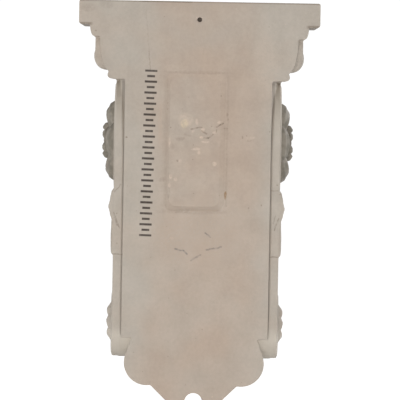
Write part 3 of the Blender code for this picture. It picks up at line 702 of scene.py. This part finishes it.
seams = []
for side in (-1, 1):
    seam_x = side * (SEAM_X + SEAM_WIDTH / 2)
    bpy.ops.mesh.primitive_cube_add(size=1, location=(seam_x, 0, (SEAM_TOP + SEAM_FOOT) / 2))
    seam = bpy.context.object
    seam.scale = (SEAM_WIDTH, 2 * SEAM_DEPTH, SEAM_TOP - SEAM_FOOT)
    bpy.ops.object.transform_apply(location=True, rotation=False, scale=True)
    seams.append(seam)
bpy.ops.mesh.primitive_cylinder_add(
    vertices=40,
    radius=NAIL_HOLE_RADIUS,
    depth=2 * NAIL_HOLE_DEPTH,
    location=(0, 0, CAP_TOP - NAIL_HOLE_DROP),
    rotation=(math.pi / 2, 0, 0),
)
nail_hole = bpy.context.object
bpy.ops.object.select_all(action="DESELECT")
casting.select_set(True)
bpy.context.view_layer.objects.active = casting
for cutter in (recess, nail_hole, *seams):
    finish_with("BOOLEAN", operation="DIFFERENCE", object=cutter, solver="EXACT")
    bpy.data.objects.remove(cutter)
bpy.ops.object.shade_smooth_by_angle(angle=math.radians(42))

# The struck-off back and the floor of the recess are shaded flat.
for face in casting.data.polygons:
    if face.normal.y > 0.99999 and face.center.y > -RECESS_DEPTH - 0.0001:
        face.use_smooth = False
casting.data.materials.clear()
print("casting triangles", sum(len(face.vertices) - 2 for face in casting.data.polygons))


# Resin finish --------------------------------------------------------------------------------------------
# Bare cast resin the colour of unfired clay, never painted: matt, a little pinker where it cured thick,
# greyer near the edges, with tiny pits, painted shade in the hollows, gaps and along edges, and painted
# light on the rear of the cheeks. The back has scuffs, a crack and worn ink.
GREY_RESIN = (0.462, 0.408, 0.346, 1)
PINK_RESIN = (0.462, 0.364, 0.288, 1)
PALE_RESIN = (0.600, 0.480, 0.380, 1)
# Painted light for the rear of the cheeks
REAR_PAINTED_LIGHT = (0.570, 0.515, 0.440, 1)
# Painted shade for the large flowers
FLOWER_PAINTED_SHADE = (0.185, 0.165, 0.130, 1)
# Grime, and also painted shade in hollows, gaps and along edges
GRIME_AND_SHADE = (0.165, 0.125, 0.090, 1)
INK = (0.050, 0.036, 0.028, 1)
PENCIL = (0.215, 0.195, 0.175, 1)
YELLOW_STAIN = (0.620, 0.520, 0.330, 1)
BROWN_STAIN = (0.300, 0.185, 0.095, 1)

resin = bpy.data.materials.new("cast_resin")
resin.use_nodes = True
nodes = resin.node_tree.nodes
links = resin.node_tree.links
shader = nodes["Principled BSDF"]
place = nodes.new("ShaderNodeTexCoord").outputs["Object"]


def math_node(operation, first, second=0.0, clamp=False):
    node = nodes.new("ShaderNodeMath")
    node.operation = operation
    node.use_clamp = clamp
    for socket, value in zip(node.inputs, (first, second)):
        if isinstance(value, (int, float)):
            socket.default_value = value
        else:
            links.new(value, socket)
    return node.outputs[0]


def times(first, *others):
    for value in others:
        first = math_node("MULTIPLY", first, value)
    return first


def vector_node(operation, first, second, output="Vector"):
    node = nodes.new("ShaderNodeVectorMath")
    node.operation = operation
    for socket, value in zip(node.inputs, (first, second)):
        if isinstance(value, (tuple, Vector)):
            socket.default_value = value
        else:
            links.new(value, socket)
    return node.outputs[output]


def noise(scale, detail=2.0, roughness=0.5, where=None, distortion=0.0):
    node = nodes.new("ShaderNodeTexNoise")
    node.inputs["Scale"].default_value = scale
    node.inputs["Detail"].default_value = detail
    node.inputs["Roughness"].default_value = roughness
    node.inputs["Distortion"].default_value = distortion
    links.new(where or place, node.inputs["Vector"])
    return node.outputs["Fac"]


def ramp(value, low, high, to_low=0.0, to_high=1.0):
    node = nodes.new("ShaderNodeMapRange")
    node.interpolation_type = "SMOOTHSTEP"
    for name, number in (("From Min", low), ("From Max", high), ("To Min", to_low), ("To Max", to_high)):
        node.inputs[name].default_value = number
    links.new(value, node.inputs["Value"])
    return node.outputs["Result"]


def blend(colour, over, share, mode="MIX"):
    node = nodes.new("ShaderNodeMix")
    node.data_type = "RGBA"
    node.blend_type = mode
    for socket, value in ((node.inputs[0], share), (node.inputs[6], colour), (node.inputs[7], over)):
        if isinstance(value, (int, float, tuple)):
            socket.default_value = value
        else:
            links.new(value, socket)
    return node.outputs[2]


split = nodes.new("ShaderNodeSeparateXYZ")
links.new(place, split.inputs["Vector"])
across, depth, up = split.outputs
on_back = ramp(depth, -0.0017, -0.0012)
on_rear = ramp(depth, -0.0075, -0.0060)

# Cloudy colour, from the way the resin cured, and painted shade that darkens it towards the head
from_middle = math_node("ABSOLUTE", math_node("ADD", across, 0.004))
pink_middle = ramp(from_middle, 0.040, 0.020, 0.0, 0.68)
pinkness = math_node("ADD", pink_middle, ramp(noise(26, 3), 0.36, 0.66, -0.20, 0.30), clamp=True)
colour = blend(GREY_RESIN, PINK_RESIN, pinkness)
cloud = ramp(noise(75, 4, 0.6), 0.30, 0.70, 0.955, 1.035)
grain = ramp(noise(520, 3, 0.7), 0.30, 0.70, 0.965, 1.03)
head_painted_shade = ramp(up, -0.135, 0.015, 1.0, 0.920)
cloud_and_head_shade = nodes.new("ShaderNodeCombineColor")
for socket in cloud_and_head_shade.inputs:
    links.new(times(cloud, grain, head_painted_shade), socket)
colour = blend(colour, cloud_and_head_shade.outputs[0], 1.0, "MULTIPLY")

# Pale and dark specks, a few of each
pale_specks = times(ramp(noise(420, 1), 0.73, 0.79), ramp(noise(60, 1), 0.50, 0.60), 0.6)
elsewhere = vector_node("ADD", place, (0.31, 0.17, 0.05))
dark_specks = times(ramp(noise(600, 0, where=elsewhere), 0.82, 0.88), 0.40)
colour = blend(colour, PALE_RESIN, pale_specks)
colour = blend(colour, GRIME_AND_SHADE, dark_specks)

# Painted shade in the hollows of the carving, patchy and weaker at the rear
hollows = nodes.new("ShaderNodeAmbientOcclusion")
hollows.samples = 8
hollows.inputs["Distance"].default_value = 0.0045
off_back = math_node("SUBTRACT", 1.0, on_back)
at_rear = times(off_back, ramp(depth, -0.034, -0.024))
hollow_shade_strength = math_node("SUBTRACT", 0.75, times(at_rear, 0.55))
hollow_painted_shade = times(ramp(hollows.outputs["AO"], 0.74, 0.26), ramp(noise(120, 3), 0.25, 0.65, 0.45, 0.85))
colour = blend(colour, GRIME_AND_SHADE, times(hollow_painted_shade, hollow_shade_strength, off_back))

# Painted light that makes the rear of the cheeks paler
beside = math_node("ABSOLUTE", across)
upper_rear = times(ramp(beside, 0.0411, 0.0416), ramp(up, -0.018, -0.020), ramp(up, -0.062, -0.028))
lower_rear = times(ramp(beside, 0.0312, 0.0320), ramp(up, -0.150, -0.157))
rear_painted_light = times(at_rear, math_node("MAXIMUM", upper_rear, lower_rear))
colour = blend(colour, REAR_PAINTED_LIGHT, times(rear_painted_light, 0.80))

# Painted shade on the large flowers, which stand proudest, patchy across the petals
flower = vector_node("SUBTRACT", vector_node("MULTIPLY", place, (0, 1, 1)), at(0, *upper_scroll))
from_eye = vector_node("LENGTH", flower, (0, 0, 0), "Value")
on_flower = ramp(from_eye, UPPER_ROSETTE_RADIUS + 0.0012, UPPER_ROSETTE_RADIUS)
proud = ramp(beside, 0.0446, 0.0462, 0.0, 0.95)
colour = blend(colour, FLOWER_PAINTED_SHADE, times(on_flower, proud, ramp(noise(250, 3), 0.35, 0.65, 1.00, 0.66)))

# Painted shade along the top edge of the back, with brown dirt added left of the middle
top_edge_shade_and_dirt = times(ramp(up, 0.0231, 0.0236), ramp(depth, -0.0050, -0.0030))
brown_part = times(ramp(across, 0.003, 0.006), ramp(across, 0.034, 0.030), 0.30)
colour = blend(colour, GRIME_AND_SHADE, times(top_edge_shade_and_dirt, math_node("ADD", brown_part, 0.55)))

# Painted shade on the rounded foot of the slab's ends
slab_z = CAP_TOP - SLAB_HEIGHT
slab_foot_shade = times(ramp(up, slab_z + 0.0014, slab_z + 0.0008), ramp(up, slab_z - 0.0006, slab_z - 0.0002))
colour = blend(colour, GRIME_AND_SHADE, times(slab_foot_shade, ramp(beside, 0.0570, 0.0590), 0.62))

# Marks on the back. Lines wander a little, as drawn and scratched ones do.
wander = nodes.new("ShaderNodeTexNoise")
wander.inputs["Scale"].default_value = 260
wander.inputs["Detail"].default_value = 2
links.new(place, wander.inputs["Vector"])
sway = vector_node("SUBTRACT", wander.outputs["Color"], (0.5, 0.5, 0.5))
wavy = vector_node("ADD", place, vector_node("MULTIPLY", sway, (0.0016, 0, 0.0016)))
flat_place = vector_node("MULTIPLY", wavy, (1, 0, 1))
patchy = ramp(noise(700, 2), 0.32, 0.58, 0.35, 1.0)


def stroke(start, end, width):
    """How much a place on the back lies on a line from one (x, z) to another."""
    begin = Vector((start[0], 0, start[1]))
    course = Vector((end[0], 0, end[1])) - begin
    from_begin = vector_node("SUBTRACT", flat_place, begin)
    passed = vector_node("DOT_PRODUCT", from_begin, course, "Value")
    nearest = nodes.new("ShaderNodeVectorMath")
    nearest.operation = "SCALE"
    nearest.inputs[0].default_value = course
    links.new(math_node("DIVIDE", passed, course.length_squared, clamp=True), nearest.inputs["Scale"])
    off_line = vector_node("SUBTRACT", from_begin, nearest.outputs["Vector"])
    distance = vector_node("LENGTH", off_line, (0, 0, 0), "Value")
    return ramp(distance, width / 2 + 0.0002, width / 2 - 0.0002)


def mark(colour, over, shape, strength, region=on_back):
    return blend(colour, over, times(shape, region, times(patchy, strength)))


# Stains, and painted shade along the edges of the recess: (x, z, width across, height, colour, strength)
for x, z, wide, high, tone, strength in (
    (0.0072, -0.0418, 0.0042, 0.0048, YELLOW_STAIN, 0.75),
    (0.0065, -0.0400, 0.0080, 0.0075, PALE_RESIN, 0.45),
    (-0.0027, -0.0450, 0.0020, 0.0030, PALE_RESIN, 0.90),
    (0.0025, -0.0459, 0.0018, 0.0012, PALE_RESIN, 0.80),
    (-0.0021, -0.0490, 0.0024, 0.0014, PALE_RESIN, 0.90),
    (-0.0091, -0.0462, 0.0026, 0.0014, PALE_RESIN, 0.55),
    (-0.0120, -0.0408, 0.0030, 0.0016, PALE_RESIN, 0.60),
    (-0.0093, -0.0632, 0.0024, 0.0026, PALE_RESIN, 0.70),
    (0.0142, -0.0704, 0.0016, 0.0030, PALE_RESIN, 0.80),
    (0.0117, -0.0721, 0.0018, 0.0018, PALE_RESIN, 0.70),
    (0.0148, -0.0750, 0.0014, 0.0024, PALE_RESIN, 0.80),
    (0.0129, -0.1035, 0.0020, 0.0014, PALE_RESIN, 0.60),
    (0.0154, -0.0522, 0.0014, 0.0060, PALE_RESIN, 0.60),
    (-0.0154, -0.0800, 0.0014, 0.0046, BROWN_STAIN, 0.95),
    (-0.0161, -0.0364, 0.0012, 0.0018, GRIME_AND_SHADE, 0.40),
    (-0.0161, -0.0390, 0.0010, 0.0014, GRIME_AND_SHADE, 0.28),
    (-0.0282, -0.0868, 0.0008, 0.0014, GRIME_AND_SHADE, 0.45),
    (0.0384, -0.0497, 0.0012, 0.0008, GRIME_AND_SHADE, 0.75),
    (-0.0388, -0.0454, 0.0010, 0.0010, GRIME_AND_SHADE, 0.35),
    (-0.0350, -0.0853, 0.0009, 0.0012, GRIME_AND_SHADE, 0.40),
    (0.0203, -0.0420, 0.0022, 0.0230, PINK_RESIN, 0.60),
    (0.0005, -0.0406, 0.0014, 0.0036, PALE_RESIN, 0.55),
    (-0.0041, -0.0516, 0.0042, 0.0013, PALE_RESIN, 0.70),
    (0.0008, -0.0554, 0.0046, 0.0015, PALE_RESIN, 0.60),
    (-0.0009, -0.0571, 0.0017, 0.0022, PALE_RESIN, 0.70),
    (0.0091, -0.0620, 0.0022, 0.0018, PALE_RESIN, 0.50),
    (-0.0295, -0.0490, 0.0032, 0.0014, PALE_RESIN, 0.40),
    (0.0110, -0.0618, 0.0010, 0.0012, GRIME_AND_SHADE, 0.45),
    (-0.0240, -0.0487, 0.0009, 0.0017, GRIME_AND_SHADE, 0.50),
    (-0.0261, -0.0479, 0.0009, 0.0009, GRIME_AND_SHADE, 0.45),
    (-0.0280, -0.0505, 0.0028, 0.0010, GRIME_AND_SHADE, 0.25),
    (0.0100, -0.0502, 0.0044, 0.0026, GRIME_AND_SHADE, 0.16),
    (0.0141, -0.0544, 0.0034, 0.0034, GRIME_AND_SHADE, 0.12),
    (0.0190, -0.0722, 0.0034, 0.0028, GRIME_AND_SHADE, 0.15),
    (0.0150, -0.0120, 0.0100, 0.0040, PALE_RESIN, 0.12),
    (0.0000, -0.1010, 0.0480, 0.0420, PINK_RESIN, 0.60),
    (-0.0365, -0.0110, 0.0150, 0.0340, PALE_RESIN, 0.16),
    (0.0600, 0.0200, 0.0080, 0.0050, GRIME_AND_SHADE, 0.20),
    (0.0500, 0.0215, 0.0070, 0.0040, GRIME_AND_SHADE, 0.16),
    # Painted shade along the four edges of the recess
    (0.0013, -0.0891, 0.0420, 0.0030, GRIME_AND_SHADE, 0.13),
    (0.0005, -0.0143, 0.0400, 0.0018, GRIME_AND_SHADE, 0.12),
    (0.0180, -0.0520, 0.0022, 0.0800, GRIME_AND_SHADE, 0.06),
    (-0.0153, -0.0500, 0.0022, 0.0800, GRIME_AND_SHADE, 0.05),
):
    offset = vector_node("SUBTRACT", flat_place, (x, 0, z))
    in_oval = vector_node("DIVIDE", offset, (wide / 2, 1, high / 2))
    spread = vector_node("LENGTH", in_oval, (0, 0, 0), "Value")
    colour = mark(colour, tone, ramp(spread, 1.25, 0.65), strength)

# Scratches, the crack in the recess, the mould line, pencil strokes and painted shade along the recess's
# edges: (from, to, width, colour, strength)
for start, end, width, tone, strength in (
    ((0.0038, -0.0447), (-0.0022, -0.0437), 0.00070, GRIME_AND_SHADE, 0.62),
    ((-0.0022, -0.0456), (-0.0048, -0.0472), 0.00085, GRIME_AND_SHADE, 0.48),
    ((-0.0033, -0.0492), (-0.0060, -0.0493), 0.00080, GRIME_AND_SHADE, 0.65),
    ((-0.0060, -0.0493), (-0.0081, -0.0474), 0.00070, GRIME_AND_SHADE, 0.45),
    ((-0.0098, -0.0462), (-0.0100, -0.0450), 0.00070, GRIME_AND_SHADE, 0.45),
    ((-0.0103, -0.0435), (-0.0135, -0.0412), 0.00080, GRIME_AND_SHADE, 0.75),
    ((-0.0146, -0.0441), (-0.0162, -0.0441), 0.00060, GRIME_AND_SHADE, 0.32),
    ((0.0097, -0.0500), (0.0072, -0.0496), 0.00120, GRIME_AND_SHADE, 0.18),
    ((0.0070, -0.0476), (0.0040, -0.0478), 0.00110, GRIME_AND_SHADE, 0.16),
    ((0.0150, -0.0766), (0.0150, -0.0820), 0.00070, GRIME_AND_SHADE, 0.22),
    # Painted shade along the recess's edges, with a pink band at its foot
    ((0.0113, -0.0147), (-0.0136, -0.0143), 0.00090, GRIME_AND_SHADE, 0.10),
    ((0.0113, -0.0893), (0.0040, -0.0894), 0.00070, GRIME_AND_SHADE, 0.20),
    ((0.0030, -0.0888), (-0.0105, -0.0884), 0.00090, PINK_RESIN, 0.70),
    ((-0.0161, -0.0160), (-0.0158, -0.0860), 0.00100, GRIME_AND_SHADE, 0.10),
    ((0.0167, -0.0180), (0.0166, -0.0880), 0.00100, GRIME_AND_SHADE, 0.09),
    ((0.0288, 0.0190), (0.0270, -0.0030), 0.00045, GRIME_AND_SHADE, 0.16),
    ((0.0270, -0.0030), (0.0262, -0.0136), 0.00050, GRIME_AND_SHADE, 0.34),
    ((0.0111, -0.1096), (0.0066, -0.1103), 0.00080, PENCIL, 0.80),
    ((0.0066, -0.1103), (0.0044, -0.1122), 0.00080, PENCIL, 0.80),
    ((0.0024, -0.1155), (-0.0027, -0.1124), 0.00085, PENCIL, 0.55),
    ((-0.0050, -0.1003), (-0.0078, -0.1030), 0.00080, PENCIL, 0.80),
    ((-0.0058, -0.1096), (-0.0138, -0.1080), 0.00090, PENCIL, 0.65),
):
    colour = mark(colour, tone, stroke(start, end, width), strength)

# Painted shade of leaf veins that run over on to the rear of the cheeks
for start, end, width, strength in (
    ((0.0446, -0.0900), (0.0414, -0.0987), 0.00060, 0.55),
    ((0.0440, -0.0931), (0.0427, -0.0968), 0.00060, 0.45),
    ((0.0443, -0.0792), (0.0411, -0.0752), 0.00055, 0.45),
    ((0.0452, -0.1127), (0.0400, -0.1127), 0.00070, 0.50),
    ((-0.0420, -0.0987), (-0.0444, -0.0925), 0.00070, 0.50),
    ((-0.0415, -0.0950), (-0.0428, -0.0905), 0.00060, 0.35),
    ((-0.0403, -0.0772), (-0.0441, -0.0772), 0.00055, 0.40),
    ((-0.0404, -0.1131), (-0.0440, -0.1131), 0.00070, 0.50),
):
    colour = mark(colour, GRIME_AND_SHADE, stroke(start, end, width), strength, on_rear)

# Painted shade deep in the gap between plate and cheek, widest under the cap
in_shaded_gap = times(ramp(depth, -0.026, -0.020), ramp(up, -0.018, -0.020), ramp(up, -0.152, -0.135))
gap_width = ramp(up, -0.060, -0.020, 0.0002, 0.0011)
gap_place = math_node("ABSOLUTE", math_node("SUBTRACT", beside, 0.0404))
gap = ramp(math_node("SUBTRACT", gap_place, gap_width), 0.0002, -0.0003)
colour = blend(colour, GRIME_AND_SHADE, times(gap, in_shaded_gap, times(off_back, 0.42)))

# Worn ink: a scale of plain ticks stamped up the left, long and short in turn
INK_TOP = (0.0256, -0.0136)
INK_FOOT = (0.0274, -0.1024)
TICK_PITCH = 0.00296
TICK_WIDTH = 0.00118
LONG_TICK = 0.0033
SHORT_TICK = 0.0021
row_run = Vector((INK_FOOT[0] - INK_TOP[0], 0, INK_FOOT[1] - INK_TOP[1]))
row_side = Vector((-row_run.z, 0, row_run.x)).normalized()
from_top = vector_node("SUBTRACT", vector_node("MULTIPLY", place, (1, 0, 1)), (INK_TOP[0], 0, INK_TOP[1]))
down = vector_node("DOT_PRODUCT", from_top, row_run.normalized(), "Value")
off_row = math_node("ABSOLUTE", vector_node("DOT_PRODUCT", from_top, row_side, "Value"))
off_tick = math_node("PINGPONG", down, TICK_PITCH / 2)
turn_about = math_node("PINGPONG", down, TICK_PITCH)
tick_half = ramp(turn_about, TICK_PITCH * 0.49, TICK_PITCH * 0.51, LONG_TICK, SHORT_TICK)
tick = ramp(off_tick, TICK_WIDTH / 2 + 0.00015, TICK_WIDTH / 2 - 0.00015)
tick_ended = ramp(math_node("SUBTRACT", off_row, tick_half), 0.0002, -0.0002)
in_row = times(ramp(down, -TICK_WIDTH, 0.0), ramp(down, row_run.length + TICK_WIDTH, row_run.length))
worn = ramp(noise(480, 2), 0.30, 0.50, 0.86, 0.98)
colour = blend(colour, INK, times(tick, tick_ended, times(in_row, on_back), worn))

links.new(colour, shader.inputs["Base Color"])
links.new(ramp(noise(90, 4), 0.3, 0.7, 0.56, 0.72), shader.inputs["Roughness"])
shader.inputs["Specular IOR Level"].default_value = 0.35
waves = nodes.new("ShaderNodeBump")
waves.inputs["Strength"].default_value = 0.35
waves.inputs["Distance"].default_value = 0.0010
links.new(noise(55, 3), waves.inputs["Height"])
pits = nodes.new("ShaderNodeBump")
pits.inputs["Strength"].default_value = 0.30
pits.inputs["Distance"].default_value = 0.0002
links.new(noise(900, 4, 0.65), pits.inputs["Height"])
links.new(waves.outputs["Normal"], pits.inputs["Normal"])
links.new(pits.outputs["Normal"], shader.inputs["Normal"])
casting.data.materials.append(resin)

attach(casting, "root")
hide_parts("corbel")


# Stage ---------------------------------------------------------------------------------------------------
# A plain pale floor that runs out into a white room. The corbel hangs clear of it, as it would on a wall,
# lit by one broad soft light behind the camera and two lesser ones that rake across the front and side.
FLOOR_LEVEL = -0.55
bpy.ops.mesh.primitive_plane_add(size=16, location=(0, 0, FLOOR_LEVEL))
floor = bpy.context.object
floor.name = "floor"
paper = bpy.data.materials.new("white_floor")
paper.use_nodes = True
paper_nodes = paper.node_tree.nodes
paper_shader = paper_nodes["Principled BSDF"]
paper_shader.inputs["Base Color"].default_value = (0.85, 0.85, 0.85, 1)
paper_shader.inputs["Roughness"].default_value = 0.9
far = paper_nodes.new("ShaderNodeVectorMath")
far.operation = "LENGTH"
paper.node_tree.links.new(paper_nodes.new("ShaderNodeTexCoord").outputs["Object"], far.inputs[0])
fade = paper_nodes.new("ShaderNodeMapRange")
fade.interpolation_type = "SMOOTHSTEP"
fade.inputs["From Min"].default_value = 0.5
fade.inputs["From Max"].default_value = 1.5
paper.node_tree.links.new(far.outputs["Value"], fade.inputs["Value"])
paper.node_tree.links.new(fade.outputs["Result"], paper_shader.inputs["Emission Strength"])
paper_shader.inputs["Emission Color"].default_value = (1, 1, 1, 1)
floor.data.materials.append(paper)

world = bpy.data.worlds.new("studio")
world.use_nodes = True
room = world.node_tree.nodes
dim = room["Background"]
dim.inputs["Color"].default_value = (1, 1, 1, 1)
dim.inputs["Strength"].default_value = 0.175
white = room.new("ShaderNodeBackground")
white.inputs["Color"].default_value = (1, 1, 1, 1)
white.inputs["Strength"].default_value = 1.05
seen = room.new("ShaderNodeMixShader")
world.node_tree.links.new(room.new("ShaderNodeLightPath").outputs["Is Camera Ray"], seen.inputs[0])
world.node_tree.links.new(dim.outputs[0], seen.inputs[1])
world.node_tree.links.new(white.outputs[0], seen.inputs[2])
world.node_tree.links.new(seen.outputs[0], room["World Output"].inputs["Surface"])
bpy.context.scene.world = world
bpy.context.scene.view_settings.view_transform = "Standard"

MIDDLE = Vector((0, 0, -0.083))
for name, spot, size, energy in (
    ("key", (0.20, 2.7, 0.02), 0.9, 35.8),
    ("front", (-1.5, -1.3, 0.65), 0.8, 21.0),
    ("side", (1.9, -0.9, 0.50), 0.8, 11.0),
):
    lamp = bpy.data.lights.new(name, "AREA")
    lamp.size = size
    lamp.energy = energy
    light = bpy.data.objects.new(name, lamp)
    light.location = spot
    light.rotation_euler = (MIDDLE - light.location).to_track_quat("-Z", "Y").to_euler()
    bpy.context.collection.objects.link(light)

# Camera: square on to the back and a touch above its middle, as in the photograph
SENSOR_WIDTH = 36
CAMERA_DISTANCE = 2.4
CAMERA_RISE = math.radians(1.3)
CAMERA_ROLL = math.radians(1.00)
FRAME_WIDTH = 0.2156
aim = Vector((-0.001830, 0.0, -0.08283))
camera_data = bpy.data.cameras.new("camera")
camera_data.sensor_width = SENSOR_WIDTH
camera_data.lens = SENSOR_WIDTH * CAMERA_DISTANCE / FRAME_WIDTH
camera = bpy.data.objects.new("camera", camera_data)
camera.location = aim + Vector((0, math.cos(CAMERA_RISE), math.sin(CAMERA_RISE))) * CAMERA_DISTANCE
facing = Matrix.Rotation(math.pi, 3, "Z") @ Matrix.Rotation(math.pi / 2 - CAMERA_RISE, 3, "X")
camera.rotation_euler = (facing @ Matrix.Rotation(CAMERA_ROLL, 3, "Z")).to_euler()
bpy.context.collection.objects.link(camera)
bpy.context.scene.camera = camera
